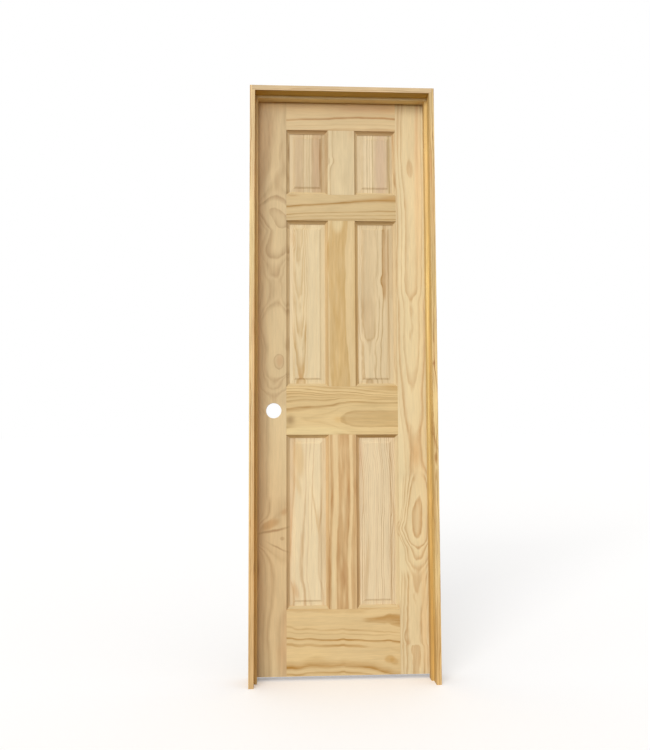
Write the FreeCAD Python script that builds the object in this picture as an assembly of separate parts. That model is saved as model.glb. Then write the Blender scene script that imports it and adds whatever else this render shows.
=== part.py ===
import FreeCAD, Part
import math
import os

# A six-panel pine door hung in its jambs, built up from separate boards.
# Millimetres. The leaf swings away from the side with the stops, to +Y.
# The origin is at floor level on the outer face of the hinge jamb, halfway
# through the jamb's depth; +X points out of that face and +Z is up.

os.makedirs("parts", exist_ok=True)

# leaf
leaf_width = 604.8
leaf_height = 2032.0
leaf_thick = 35.0
latch_bevel = 2.0  # the latch edge leans, so that it clears the jamb as it swings

# flat faces of the boards in the leaf
stile_face = 105.0
mullion_face = 96.0
top_rail_face = 105.0
frieze_rail_face = 95.0
lock_rail_face = 170.0
bottom_rail_face = 225.0
top_opening = 237.0
bottom_opening = 604.0

# moulded edge round each opening, and the groove that holds the panel
stick_width = 11.0
stick_depth = 11.0
stick_step = 1.0
stick_hollow = 0.9  # of the moulding's slope, at its middle
groove_width = 8.0
groove_depth = 10.0

# raised panels
panel_thick = 17.8
panel_bevel = 13.5
panel_step = 3.6
panel_step_run = 6.5
tongue_play = 0.1  # on each face of the tongue
tongue_float = 2.0  # at the bottom of the groove

# jambs and stops
jamb_thick = 17.5
jamb_depth = 116.0
head_rabbet = 9.5  # how far the head goes into each side jamb
stop_thick = 9.5
stop_depth = 32.0
stop_round = 3.0

# clearances round the leaf
side_gap = 5.1
head_gap = 5.0
stop_gap = 5.0
floor_gap = 12.0

# lock preparation
lock_height = 914.4  # above the leaf's lower edge
lock_backset = 60.3
lock_bore_radius = 27.0
latch_bore_radius = 12.7
faceplate_height = 57.2
faceplate_width = 25.4
faceplate_depth = 3.0
plate_corner = 6.35
strike_height = 57.2
strike_width = 31.5
strike_depth = 1.6
strike_hole_radius = 11.0
strike_hole_depth = 13.0

# butt hinges
hinge_height = 89.0
hinge_plate_thick = 2.2
hinge_plate_width = 29.0
hinge_corner = 15.9
barrel_radius = 5.8
barrel_setback = 6.5  # from the back of the wood to the pin's axis
pin_radius = 3.1
pin_play = 0.05
pin_head_radius = 4.8
pin_head_height = 3.0
pin_tip_height = 2.5
knuckle_count = 5
knuckle_gap = 0.3
top_hinge_drop = 178.0  # from the leaf's upper edge to the top hinge
bottom_hinge_rise = 279.0  # from the leaf's lower edge to the bottom hinge

# places across the door
frame_width = leaf_width + 2 * side_gap + 2 * jamb_thick
hinge_jamb_x = -jamb_thick
hinge_edge_x = hinge_jamb_x - side_gap
latch_edge_x = hinge_edge_x - leaf_width
latch_jamb_x = latch_edge_x - side_gap
latch_stile_x = latch_edge_x + stile_face
hinge_stile_x = hinge_edge_x - stile_face
centre_x = (latch_stile_x + hinge_stile_x) / 2
mullion_left_x = centre_x - mullion_face / 2
mullion_right_x = centre_x + mullion_face / 2
pin_x = hinge_jamb_x - side_gap / 2

# places through the wall
jamb_front = -jamb_depth / 2
jamb_back = jamb_depth / 2
leaf_back = jamb_back
leaf_front = leaf_back - leaf_thick
leaf_mid = (leaf_front + leaf_back) / 2
stop_back = leaf_front - stop_gap
stop_front = stop_back - stop_depth
pin_y = jamb_back + barrel_setback

# heights
leaf_bottom = floor_gap
leaf_top = leaf_bottom + leaf_height
head_under = leaf_top + head_gap
head_top = head_under + jamb_thick
head_stop_under = head_under - stop_thick
bottom_rail_top = leaf_bottom + bottom_rail_face
lock_rail_bottom = bottom_rail_top + bottom_opening
lock_rail_top = lock_rail_bottom + lock_rail_face
top_rail_bottom = leaf_top - top_rail_face
frieze_rail_top = top_rail_bottom - top_opening
frieze_rail_bottom = frieze_rail_top - frieze_rail_face
lock_z = leaf_bottom + lock_height
bottom_hinge_z = leaf_bottom + bottom_hinge_rise
top_hinge_z = leaf_top - top_hinge_drop - hinge_height
middle_hinge_z = (bottom_hinge_z + top_hinge_z) / 2


def save(shape, name):
    shape.exportStep("parts/" + name + ".step")


def block(x0, x1, y0, y1, z0, z1):
    return Part.makeBox(x1 - x0, y1 - y0, z1 - z0, FreeCAD.Vector(x0, y0, z0))


def rod(radius, length, start, direction):
    return Part.makeCylinder(radius, length, FreeCAD.Vector(*start), FreeCAD.Vector(*direction))


def round_edges(shape, radius, wanted):
    """Round the straight edges whose middle point is wanted."""
    edges = [edge for edge in shape.Edges if wanted(edge.CenterOfMass)]
    return shape.makeFillet(radius, edges)


# Sections of the leaf's boards. They are drawn across the board's width (u)
# and through the leaf's thickness (v, positive towards the back), and each
# edge runs from the back face to the front one.


def plain_edge(u, lean):
    half = leaf_thick / 2
    return [("line", (u, half), (u + lean, -half))]


def moulded_edge(u, side):
    half = leaf_thick / 2
    shoulder = half - stick_step
    lip = half - stick_depth
    slot = groove_width / 2
    slope = stick_depth - stick_step
    outer = u + side * stick_width
    inner = outer - side * groove_depth
    foot = u + side * slope
    middle = slope / 2 - stick_hollow * math.sqrt(0.5)
    bend_u = u + side * middle
    bend_v = lip + middle
    return [
        ("line", (u, half), (u, shoulder)),
        ("arc", (u, shoulder), (bend_u, bend_v), (foot, lip)),
        ("line", (foot, lip), (outer, lip)),
        ("line", (outer, lip), (outer, slot)),
        ("line", (outer, slot), (inner, slot)),
        ("line", (inner, slot), (inner, -slot)),
        ("line", (inner, -slot), (outer, -slot)),
        ("line", (outer, -slot), (outer, -lip)),
        ("line", (outer, -lip), (foot, -lip)),
        ("arc", (foot, -lip), (bend_u, -bend_v), (u, -shoulder)),
        ("line", (u, -shoulder), (u, -half)),
    ]


def board(low_edge, high_edge, start, length, upright):
    """Extrude a board's section upright, or level along the door."""

    def place(point):
        u, v = point
        if upright:
            return FreeCAD.Vector(u, leaf_mid + v, start)
        return FreeCAD.Vector(start, leaf_mid + v, u)

    low_front = low_edge[-1][-1]
    high_front = high_edge[-1][-1]
    low_back = low_edge[0][1]
    high_back = high_edge[0][1]
    outline = low_edge + high_edge
    outline = outline + [("line", low_front, high_front), ("line", low_back, high_back)]
    edges = []
    for kind, *points in outline:
        placed = [place(point) for point in points]
        if kind == "arc":
            edges.append(Part.Arc(*placed).toShape())
        else:
            edges.append(Part.makeLine(*placed))
    wire = Part.Wire(Part.__sortEdges__(edges))
    direction = FreeCAD.Vector(0, 0, length) if upright else FreeCAD.Vector(length, 0, 0)
    return Part.Face(wire).extrude(direction)


# Jambs: the head sits in a rabbet at the top of each side jamb.


def make_jambs():
    head = block(latch_jamb_x - head_rabbet, hinge_jamb_x + head_rabbet,
                 jamb_front, jamb_back, head_under, head_top)
    hinge_jamb = block(hinge_jamb_x, 0, jamb_front, jamb_back, 0, head_top).cut(head)
    latch_jamb = block(-frame_width, latch_jamb_x, jamb_front, jamb_back, 0, head_top).cut(head)
    return hinge_jamb, latch_jamb, head


# Stops: three strips round the opening, their front arris rounded. The side
# strips run up to the underside of the head strip.


def make_stops():
    hinge_stop = block(hinge_jamb_x - stop_thick, hinge_jamb_x,
                       stop_front, stop_back, 0, head_stop_under)
    latch_stop = block(latch_jamb_x, latch_jamb_x + stop_thick,
                       stop_front, stop_back, 0, head_stop_under)
    head_stop = block(latch_jamb_x, hinge_jamb_x, stop_front, stop_back,
                      head_stop_under, head_under)
    hinge_stop = round_edges(
        hinge_stop, stop_round,
        lambda p: abs(p.x - (hinge_jamb_x - stop_thick)) < 0.01 and abs(p.y - stop_front) < 0.01
        and abs(p.z - head_stop_under / 2) < 0.01)
    latch_stop = round_edges(
        latch_stop, stop_round,
        lambda p: abs(p.x - (latch_jamb_x + stop_thick)) < 0.01 and abs(p.y - stop_front) < 0.01
        and abs(p.z - head_stop_under / 2) < 0.01)
    head_stop = round_edges(
        head_stop, stop_round,
        lambda p: abs(p.z - head_stop_under) < 0.01 and abs(p.y - stop_front) < 0.01
        and abs(p.x - (latch_jamb_x + hinge_jamb_x) / 2) < 0.01)
    return hinge_stop, latch_stop, head_stop


# The leaf's frame: stiles run its full height, rails are scribed over the
# stiles' moulding and mullions over the rails'. Stub tenons fill the grooves.


def make_stiles():
    latch_stile = board(plain_edge(latch_edge_x, latch_bevel), moulded_edge(latch_stile_x, 1),
                        leaf_bottom, leaf_height, True)
    hinge_stile = board(moulded_edge(hinge_stile_x, -1), plain_edge(hinge_edge_x, 0),
                        leaf_bottom, leaf_height, True)
    return latch_stile, hinge_stile


def make_rail_bar(low_edge, high_edge):
    return board(low_edge, high_edge, latch_stile_x, hinge_stile_x - latch_stile_x, False)


def scribe(shape, crossing):
    """Shape the ends of a board to fit over the boards that it meets."""
    same_place = 0.001  # surfaces this close count as touching
    for other in crossing:
        shape = shape.cut([other], same_place)
    return shape


def make_mullion(z0, z1):
    return board(moulded_edge(mullion_left_x, -1), moulded_edge(mullion_right_x, 1),
                 z0, z1 - z0, True)


# Raised panels: a tongue all round sits in the grooves, the bevels rise from
# it, and a short slope steps up to the flat field. Both faces match.


def rectangle(x0, x1, z0, z1, y):
    corners = [(x0, z0), (x1, z0), (x1, z1), (x0, z1), (x0, z0)]
    return Part.makePolygon([FreeCAD.Vector(x, y, z) for x, z in corners])


def make_panel(x0, x1, z0, z1):
    tongue = stick_width - groove_depth + tongue_float
    tongue_half = groove_width / 2 - tongue_play
    crest = stick_width + panel_bevel
    field = crest + panel_step_run
    field_half = panel_thick / 2
    crest_half = field_half - panel_step
    panel = block(x0 + tongue, x1 - tongue, leaf_mid - tongue_half, leaf_mid + tongue_half,
                  z0 + tongue, z1 - tongue)
    levels = [(stick_width, tongue_half), (crest, crest_half), (field, field_half)]
    for side in (-1, 1):
        outlines = [rectangle(x0 + inset, x1 - inset, z0 + inset, z1 - inset, leaf_mid + side * half)
                    for inset, half in levels]
        panel = panel.fuse(Part.makeLoft(outlines, True, True))
    return panel.removeSplitter()


# Lock preparation: a bore through the stile, a smaller one from its edge with
# a shallow recess for the faceplate, and a recess and hole in the jamb.


def make_lock_cuts():
    bore_x = latch_edge_x + lock_backset
    lock_bore = rod(lock_bore_radius, leaf_thick * 2, (bore_x, leaf_mid - leaf_thick, lock_z), (0, 1, 0))
    latch_bore = rod(latch_bore_radius, lock_backset, (latch_edge_x, leaf_mid, lock_z), (1, 0, 0))
    recess = block(latch_edge_x - side_gap, latch_edge_x + latch_bevel / 2 + faceplate_depth,
                   leaf_mid - faceplate_width / 2, leaf_mid + faceplate_width / 2,
                   lock_z - faceplate_height / 2, lock_z + faceplate_height / 2)
    recess = round_edges(
        recess, plate_corner,
        lambda p: abs(abs(p.y - leaf_mid) - faceplate_width / 2) < 0.01
        and abs(abs(p.z - lock_z) - faceplate_height / 2) < 0.01)
    return lock_bore.fuse(latch_bore).fuse(recess)


def make_strike_cuts():
    strike_front = jamb_back - strike_width
    recess = block(latch_jamb_x - strike_depth, latch_jamb_x + side_gap,
                   strike_front, jamb_back + strike_width,
                   lock_z - strike_height / 2, lock_z + strike_height / 2)
    recess = round_edges(
        recess, plate_corner,
        lambda p: abs(p.y - strike_front) < 0.01
        and abs(abs(p.z - lock_z) - strike_height / 2) < 0.01)
    hole = rod(strike_hole_radius, strike_hole_depth, (latch_jamb_x, leaf_mid, lock_z), (-1, 0, 0))
    return recess.fuse(hole)


# Butt hinges: two plates let in flush, whose knuckles alternate on one pin.


def make_hinge_plate(x0, x1, z0):
    """The flat part of one hinge leaf, with its two inner corners rounded."""
    inner = jamb_back - hinge_plate_width
    plate = block(x0, x1, inner, jamb_back, z0, z0 + hinge_height)
    return round_edges(
        plate, hinge_corner,
        lambda p: abs(p.y - inner) < 0.01
        and abs(abs(p.z - z0 - hinge_height / 2) - hinge_height / 2) < 0.01)


def make_hinge_leaf(x0, x1, z0, first):
    """One hinge leaf: its plate, and every other knuckle from the first."""
    pitch = (hinge_height + knuckle_gap) / knuckle_count
    leaf = make_hinge_plate(x0, x1, z0)
    for index in range(first, knuckle_count, 2):
        low = z0 + index * pitch
        knuckle = rod(barrel_radius, pitch - knuckle_gap, (pin_x, pin_y, low), (0, 0, 1))
        curl = block(x0, x1, jamb_back, pin_y, low, low + pitch - knuckle_gap)
        leaf = leaf.fuse(knuckle).fuse(curl)
    bore = rod(pin_radius + pin_play, hinge_height * 2, (pin_x, pin_y, z0 - hinge_height / 2), (0, 0, 1))
    return leaf.cut(bore).removeSplitter()


def make_pin(z0):
    shank = rod(pin_radius, hinge_height, (pin_x, pin_y, z0), (0, 0, 1))
    head = rod(pin_head_radius, pin_head_height, (pin_x, pin_y, z0 + hinge_height), (0, 0, 1))
    tip = rod(pin_head_radius, pin_tip_height, (pin_x, pin_y, z0 - pin_tip_height), (0, 0, 1))
    return shank.fuse(head).fuse(tip).removeSplitter()


hinge_jamb, latch_jamb, head_jamb = make_jambs()
hinge_stop, latch_stop, head_stop = make_stops()
latch_stile, hinge_stile = make_stiles()
stiles = [latch_stile, hinge_stile]

rails = {
    "top_rail": make_rail_bar(moulded_edge(top_rail_bottom, -1), plain_edge(leaf_top, 0)),
    "frieze_rail": make_rail_bar(moulded_edge(frieze_rail_bottom, -1), moulded_edge(frieze_rail_top, 1)),
    "lock_rail": make_rail_bar(moulded_edge(lock_rail_bottom, -1), moulded_edge(lock_rail_top, 1)),
    "bottom_rail": make_rail_bar(plain_edge(leaf_bottom, 0), moulded_edge(bottom_rail_top, 1)),
}
for name, rail in rails.items():
    save(scribe(rail, stiles), name)

rows = {
    "top": (frieze_rail_top, top_rail_bottom),
    "middle": (lock_rail_top, frieze_rail_bottom),
    "bottom": (bottom_rail_top, lock_rail_bottom),
}
for row, (low, high) in rows.items():
    save(scribe(make_mullion(low, high), rails.values()), row + "_mullion")
    save(make_panel(latch_stile_x, mullion_left_x, low, high), row + "_left_panel")
    save(make_panel(mullion_right_x, hinge_stile_x, low, high), row + "_right_panel")

hinges = {"top": top_hinge_z, "middle": middle_hinge_z, "bottom": bottom_hinge_z}
for name, low in hinges.items():
    jamb_mortise = make_hinge_plate(hinge_jamb_x, hinge_jamb_x + hinge_plate_thick, low)
    stile_mortise = make_hinge_plate(hinge_edge_x - hinge_plate_thick, hinge_edge_x, low)
    hinge_jamb = hinge_jamb.cut(jamb_mortise)
    hinge_stile = hinge_stile.cut(stile_mortise)
    jamb_leaf = make_hinge_leaf(hinge_jamb_x, hinge_jamb_x + hinge_plate_thick, low, 0)
    door_leaf = make_hinge_leaf(hinge_edge_x - hinge_plate_thick, hinge_edge_x, low, 1)
    save(jamb_leaf, name + "_hinge_jamb_leaf")
    save(door_leaf, name + "_hinge_door_leaf")
    save(make_pin(low), name + "_hinge_pin")

save(hinge_jamb, "hinge_jamb")
save(latch_jamb.cut(make_strike_cuts()), "latch_jamb")
save(head_jamb, "head_jamb")
save(hinge_stop, "hinge_stop")
save(latch_stop, "latch_stop")
save(head_stop, "head_stop")
save(latch_stile.cut(make_lock_cuts()), "latch_stile")
save(hinge_stile, "hinge_stile")
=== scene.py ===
import math
import bpy
import bmesh
from mathutils import Matrix, Vector


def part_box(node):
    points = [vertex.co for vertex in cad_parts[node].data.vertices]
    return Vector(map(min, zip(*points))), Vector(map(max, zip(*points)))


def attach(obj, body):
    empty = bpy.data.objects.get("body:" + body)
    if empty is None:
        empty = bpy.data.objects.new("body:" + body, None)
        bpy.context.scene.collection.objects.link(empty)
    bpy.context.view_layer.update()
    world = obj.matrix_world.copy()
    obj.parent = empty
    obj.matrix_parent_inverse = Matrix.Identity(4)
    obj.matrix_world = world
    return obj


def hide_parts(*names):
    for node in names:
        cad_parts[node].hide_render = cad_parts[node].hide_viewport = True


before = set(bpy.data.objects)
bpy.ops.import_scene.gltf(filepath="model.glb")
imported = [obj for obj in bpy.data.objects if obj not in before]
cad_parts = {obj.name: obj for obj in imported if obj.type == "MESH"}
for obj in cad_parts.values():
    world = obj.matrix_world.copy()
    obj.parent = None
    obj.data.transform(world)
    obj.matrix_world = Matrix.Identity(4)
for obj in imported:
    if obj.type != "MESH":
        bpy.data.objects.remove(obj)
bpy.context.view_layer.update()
print("frame loaded:", len(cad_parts), "boards and fittings")

scene = bpy.context.scene
scene.view_settings.view_transform = "Standard"


def linearColour(hexText):
    # sRGB hex to the linear values that a shader takes
    channels = [int(hexText[i:i + 2], 16) / 255 for i in (1, 3, 5)]
    return [c / 12.92 if c <= 0.04045 else ((c + 0.055) / 1.055) ** 2.4 for c in channels] + [1.0]


def addNode(tree, kind, settings=None, links=None):
    # settings are the node's own properties or its sockets' values, links are sockets that feed it
    node = tree.nodes.new(kind)
    for key, value in (settings or {}).items():
        if isinstance(key, str) and hasattr(node, key):
            setattr(node, key, value)
        else:
            node.inputs[key].default_value = value
    for key, source in (links or {}).items():
        tree.links.new(source, node.inputs[key])
    return node


def newMaterial(name):
    material = bpy.data.materials.new(name)
    material.use_nodes = True
    tree = material.node_tree
    tree.nodes.clear()
    return material, tree


# the photographer stands left of the middle, at belly height, and looks slightly up
photoCamera = {
    "place": (-0.52905, -2.65467, 0.86913),  # metres
    "turn": 0.0534,  # radians, as tilt and roll are
    "tilt": 0.0680,
    "roll": -0.0039,
    "lens": 36.44,  # millimetres, as the sensor's width is
    "sensor": 36.0,
    "farthest": 200,  # metres
}


def placeCamera(values):
    turn, tilt, roll = values["turn"], values["tilt"], values["roll"]
    ahead = Vector((math.sin(turn) * math.cos(tilt), math.cos(turn) * math.cos(tilt), math.sin(tilt)))
    level = Vector((math.cos(turn), -math.sin(turn), 0))
    upright = level.cross(ahead)
    right = level * math.cos(roll) + upright * math.sin(roll)
    up = upright * math.cos(roll) - level * math.sin(roll)
    data = bpy.data.cameras.new("photoCamera")
    data.sensor_width = values["sensor"]
    data.lens = values["lens"]
    data.clip_end = values["farthest"]
    camera = bpy.data.objects.new("photoCamera", data)
    scene.collection.objects.link(camera)
    turned = Matrix((right, up, -ahead)).transposed().to_4x4()
    camera.matrix_world = Matrix.Translation(values["place"]) @ turned
    scene.camera = camera


placeCamera(photoCamera)
print("camera placed")

# a broad soft lamp in front, somewhat to the left and above, and an even pale room
studio = {
    "roomStrength": 0.73,
    "keyFrom": (-0.35, -0.87, 0.29),  # the way from the door to the lamp
    "keyStrength": 2.0,
    "keySoftness": 34.0,  # degrees that the lamp spans
    "floorColour": "#F6F5F4",
    "floorGlow": 0.17,
    "floorUnseen": "#6E5336",  # what bounces onto the door comes as from a browner floor
    "floorHalfSide": 60.0,  # metres
}


def seenDirectly(tree):
    # 1 for what the camera sees, mirrored or through glass too, and 0 for light that matt surfaces gather
    rays = addNode(tree, "ShaderNodeLightPath")
    direct = addNode(tree, "ShaderNodeMath", {"operation": "MAXIMUM"},
                     {0: rays.outputs["Is Camera Ray"], 1: rays.outputs["Is Glossy Ray"]})
    return addNode(tree, "ShaderNodeMath", {"operation": "MAXIMUM"},
                   {0: direct.outputs[0], 1: rays.outputs["Is Transmission Ray"]}).outputs[0]


def buildStage(values):
    world = bpy.data.worlds.new("paleRoom")
    scene.world = world
    world.use_nodes = True
    tree = world.node_tree
    tree.nodes.clear()
    strength = addNode(tree, "ShaderNodeMapRange", {"To Min": values["roomStrength"], "To Max": 1.0},
                       {"Value": seenDirectly(tree)})
    background = addNode(tree, "ShaderNodeBackground", {"Color": (1, 1, 1, 1)},
                         {"Strength": strength.outputs[0]})
    addNode(tree, "ShaderNodeOutputWorld", None, {"Surface": background.outputs[0]})

    keyData = bpy.data.lights.new("softKey", "SUN")
    keyData.energy = values["keyStrength"]
    keyData.angle = math.radians(values["keySoftness"])
    key = bpy.data.objects.new("softKey", keyData)
    scene.collection.objects.link(key)
    key.rotation_euler = Vector(values["keyFrom"]).to_track_quat("Z", "Y").to_euler()

    mesh = bpy.data.meshes.new("paleFloor")
    shape = bmesh.new()
    bmesh.ops.create_grid(shape, x_segments=1, y_segments=1, size=values["floorHalfSide"])
    shape.to_mesh(mesh)
    shape.free()
    floor = bpy.data.objects.new("paleFloor", mesh)
    scene.collection.objects.link(floor)
    material, tree = newMaterial("paleFloor")
    matt = addNode(tree, "ShaderNodeBsdfDiffuse", {"Color": linearColour(values["floorColour"])})
    glow = addNode(tree, "ShaderNodeEmission", {"Strength": values["floorGlow"]})
    shown = addNode(tree, "ShaderNodeAddShader", None, {0: matt.outputs[0], 1: glow.outputs[0]})
    unseen = addNode(tree, "ShaderNodeBsdfDiffuse", {"Color": linearColour(values["floorUnseen"])})
    mixed = addNode(tree, "ShaderNodeMixShader", None,
                    {0: seenDirectly(tree), 1: unseen.outputs[0], 2: shown.outputs[0]})
    addNode(tree, "ShaderNodeOutputMaterial", None, {"Surface": mixed.outputs[0]})
    mesh.materials.append(material)


buildStage(studio)
print("floor and light placed")

# bare pine: pale sapwood, browner latewood at each ring's end, streaks of fibre along the grain
# lengths are in millimetres, and a pattern's size is its width across the grain and its length along it
pine = {
    "drift": 3.2,  # how far rings stray from true curves
    "driftSize": (45, 130),
    "tremble": 2.2,  # and how far they shake within that
    "trembleSize": (14, 48),
    "ringReach": 0.7,  # how fast rings change with depth
    "swellReach": 60,  # how deep a swell goes into the board
    "ringBlend": 20,  # half the length over which one set of rings gives way to the next
    "fineSize": (30, 400),  # fine rings crowd and part over this
    "fineCrowding": 1.6,
    "fineSharpness": 4,
    "fineWeights": (0.3, 1.4),  # the faintest and the darkest line
    "patchiness": 0.35,  # latewood comes and goes
    "patchSize": (11, 110),
    "fibreTone": 0.065,
    "fibreSize": (4, 70),  # real fibres are far finer, and would not show at 3.5 mm a pixel
    "cloud": 0.06,
    "cloudSize": (38, 260),
    # painted shade: a darker, warmer tint for the mouldings and sides between a board's faces
    "insideShade": "#FAF6F4",
    "insideShadeDepths": (0.3, 1.5),  # the painted shade sets in between these depths
    "noiseRoughness": 0.6,
    "boardSeed": 7.3,  # each board takes its noise this much farther on
    "roughness": 0.5,
    "ior": 1.45,
    "specular": 0.35,
    "reliefDepth": 0.3,
    "reliefStrength": 0.2,
    "latewoodRelief": 0.6,
    "arris": 0.5,
    "arrisAngle": 40,  # degrees
    "weldWithin": 0.01,
}


def curveValue(tree, along, points, span):
    # a value drawn as a smooth curve over the board's length
    low = min(value for place, value in points)
    high = max(value for place, value in points) + 0.001
    share = addNode(tree, "ShaderNodeMath", {"operation": "MULTIPLY_ADD", 1: 1 / span, 2: 0.5}, {0: along})
    bend = addNode(tree, "ShaderNodeFloatCurve", None, {"Value": share.outputs[0]})
    curve = bend.mapping.curves[0]
    ordered = sorted((place / span + 0.5, (value - low) / (high - low)) for place, value in points)
    for place, value in ordered[1:-1]:
        curve.points.new(place, value)
    curve.points[0].location = ordered[0]
    curve.points[len(curve.points) - 1].location = ordered[-1]
    for point in curve.points:
        point.handle_type = "AUTO_CLAMPED"
    bend.mapping.update()
    return addNode(tree, "ShaderNodeMath", {"operation": "MULTIPLY_ADD", 1: high - low, 2: low},
                   {0: bend.outputs[0]}).outputs[0]


def fadeAround(tree, place, x, z, halfWidth, halfHeight, tilt=0, edge=1, reach=1e5):
    # 1 in the middle, falling off like a bell; a higher edge makes the bell's top flatter; 0.3679 is 1 / e
    near = addNode(tree, "ShaderNodeMapping", {"vector_type": "TEXTURE", "Location": (x, 0, z),
                   "Rotation": (0, -math.radians(tilt), 0), "Scale": (halfWidth, reach, halfHeight)},
                   {"Vector": place})
    square = addNode(tree, "ShaderNodeVectorMath", {"operation": "DOT_PRODUCT"},
                     {0: near.outputs[0], 1: near.outputs[0]}).outputs["Value"]
    if edge != 1:
        square = addNode(tree, "ShaderNodeMath", {"operation": "POWER", 1: edge}, {0: square}).outputs[0]
    return addNode(tree, "ShaderNodeMath", {"operation": "POWER", 0: 0.3679}, {1: square}).outputs[0]


def noiseAlong(tree, place, size, upright, seed, detail):
    # noise drawn out along the grain
    width, length = size
    spans = (width, width, length) if upright else (length, width, width)
    scaled = addNode(tree, "ShaderNodeVectorMath", {"operation": "DIVIDE", 1: spans}, {0: place})
    return addNode(tree, "ShaderNodeTexNoise", {"noise_dimensions": "4D", "W": seed, "Scale": 1.0,
                   "Detail": detail, "Roughness": pine["noiseRoughness"]}, {"Vector": scaled.outputs[0]})


def aroundOne(tree, noise, change):
    # noise as a factor that stays within the change on either side of 1
    return addNode(tree, "ShaderNodeMapRange", {"From Min": 0.3, "From Max": 0.7, "To Min": 1 - change,
                   "To Max": 1 + change}, {"Value": noise.outputs[0]}).outputs[0]


def strayed(tree, moved, noise, reach):
    # each axis is shifted by up to the reach either way
    shift = addNode(tree, "ShaderNodeVectorMath", {"operation": "MULTIPLY_ADD", 1: (2 * reach,) * 3,
                    2: (-reach,) * 3}, {0: noise.outputs["Color"]})
    return addNode(tree, "ShaderNodeVectorMath", {"operation": "ADD"},
                   {0: moved, 1: shift.outputs[0]}).outputs[0]


def heartDistance(tree, grain, moved, span):
    # distance from the heart of the tree, whose line runs behind or beside the board
    sideX, inward, height = addNode(tree, "ShaderNodeSeparateXYZ", None, {0: moved}).outputs
    across, along = (sideX, height) if grain["upright"] else (height, sideX)
    pithAcross = curveValue(tree, along, [(w, u) for w, u, v in grain["pith"]], span)
    pithBehind = curveValue(tree, along, [(w, v) for w, u, v in grain["pith"]], span)
    sideways = addNode(tree, "ShaderNodeMath", {"operation": "SUBTRACT"}, {0: across, 1: pithAcross})
    deeper = addNode(tree, "ShaderNodeMath", {"operation": "MULTIPLY_ADD", 1: -pine["ringReach"]},
                     {0: inward, 2: pithBehind})
    offset = addNode(tree, "ShaderNodeCombineXYZ", None, {0: sideways.outputs[0], 1: deeper.outputs[0]})
    distance = addNode(tree, "ShaderNodeVectorMath", {"operation": "LENGTH"}, {0: offset.outputs[0]})
    rings = addNode(tree, "ShaderNodeMath", {"operation": "SUBTRACT", 1: grain.get("start", 0)},
                    {0: distance.outputs["Value"]}).outputs[0]
    for x, z, halfWidth, halfHeight, rise in grain.get("swells", []):
        swell = fadeAround(tree, moved, x, z, halfWidth, halfHeight, reach=pine["swellReach"])
        rings = addNode(tree, "ShaderNodeMath", {"operation": "MULTIPLY_ADD", 1: rise},
                        {0: swell, 2: rings}).outputs[0]
    return rings, along


def ringTones(tree, zones, rings, along):
    # each ring's tone, from 0 for earlywood to 1 for latewood; a board may change rings along its length
    late = None
    for top, stops in zones:
        first, last = stops[0][0], stops[-1][0]
        share = addNode(tree, "ShaderNodeMapRange", {"From Min": first, "From Max": last}, {"Value": rings})
        tones = addNode(tree, "ShaderNodeValToRGB", None, {0: share.outputs[0]})
        for level, tone in stops[1:-1]:
            tones.color_ramp.elements.new((level - first) / (last - first)).color = (tone, tone, tone, 1)
        tones.color_ramp.elements[0].color = (stops[0][1],) * 3 + (1,)
        tones.color_ramp.elements[-1].color = (stops[-1][1],) * 3 + (1,)
        if late is None:
            late = tones.outputs[0]
        else:
            lower = addNode(tree, "ShaderNodeMapRange", {"interpolation_type": "SMOOTHSTEP",
                            "From Min": top + pine["ringBlend"], "From Max": top - pine["ringBlend"]},
                            {"Value": along})
            late = addNode(tree, "ShaderNodeMix", None,
                           {0: lower.outputs[0], 2: late, 3: tones.outputs[0]}).outputs[0]
    return late


def fineLines(tree, grain, late, rings, moved, seed):
    # narrow rings at an even spacing, each with its own weight
    spacing, strength = grain["fine"]
    faintest, darkest = pine["fineWeights"]
    wander = noiseAlong(tree, moved, pine["fineSize"], grain["upright"], seed, 1)
    evenly = addNode(tree, "ShaderNodeMath", {"operation": "DIVIDE", 1: spacing}, {0: rings})
    count = addNode(tree, "ShaderNodeMath", {"operation": "MULTIPLY_ADD", 1: pine["fineCrowding"]},
                    {0: wander.outputs[0], 2: evenly.outputs[0]})
    share = addNode(tree, "ShaderNodeMath", {"operation": "FRACT"}, {0: count.outputs[0]})
    line = addNode(tree, "ShaderNodeMath", {"operation": "POWER", 1: pine["fineSharpness"]},
                   {0: share.outputs[0]})
    whole = addNode(tree, "ShaderNodeMath", {"operation": "FLOOR"}, {0: count.outputs[0]})
    each = addNode(tree, "ShaderNodeTexWhiteNoise", {"noise_dimensions": "1D"}, {"W": whole.outputs[0]})
    weight = addNode(tree, "ShaderNodeMapRange", {"To Min": faintest * strength,
                     "To Max": darkest * strength}, {"Value": each.outputs["Value"]})
    return addNode(tree, "ShaderNodeMath", {"operation": "MULTIPLY_ADD"},
                   {0: line.outputs[0], 1: weight.outputs[0], 2: late}).outputs[0]


def insideShadeTinted(tree, colour, place, thickness, tint):
    # painted shade: between a board's two faces, on the moulding and on a jamb's broad side, the colour is
    # tinted darker and warmer, as where shade falls
    depth = addNode(tree, "ShaderNodeSeparateXYZ", None, {0: place}).outputs[1]
    rest = addNode(tree, "ShaderNodeMath", {"operation": "SUBTRACT", 0: thickness}, {1: depth})
    nearer = addNode(tree, "ShaderNodeMath", {"operation": "MINIMUM"}, {0: depth, 1: rest.outputs[0]})
    shallow, deep = pine["insideShadeDepths"]
    buried = addNode(tree, "ShaderNodeMapRange", {"From Min": shallow, "From Max": deep},
                     {"Value": nearer.outputs[0]})
    return addNode(tree, "ShaderNodeMix", {"data_type": "RGBA", "blend_type": "MULTIPLY",
                   7: linearColour(tint)}, {0: buried.outputs[0], 6: colour}).outputs[2]


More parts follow.
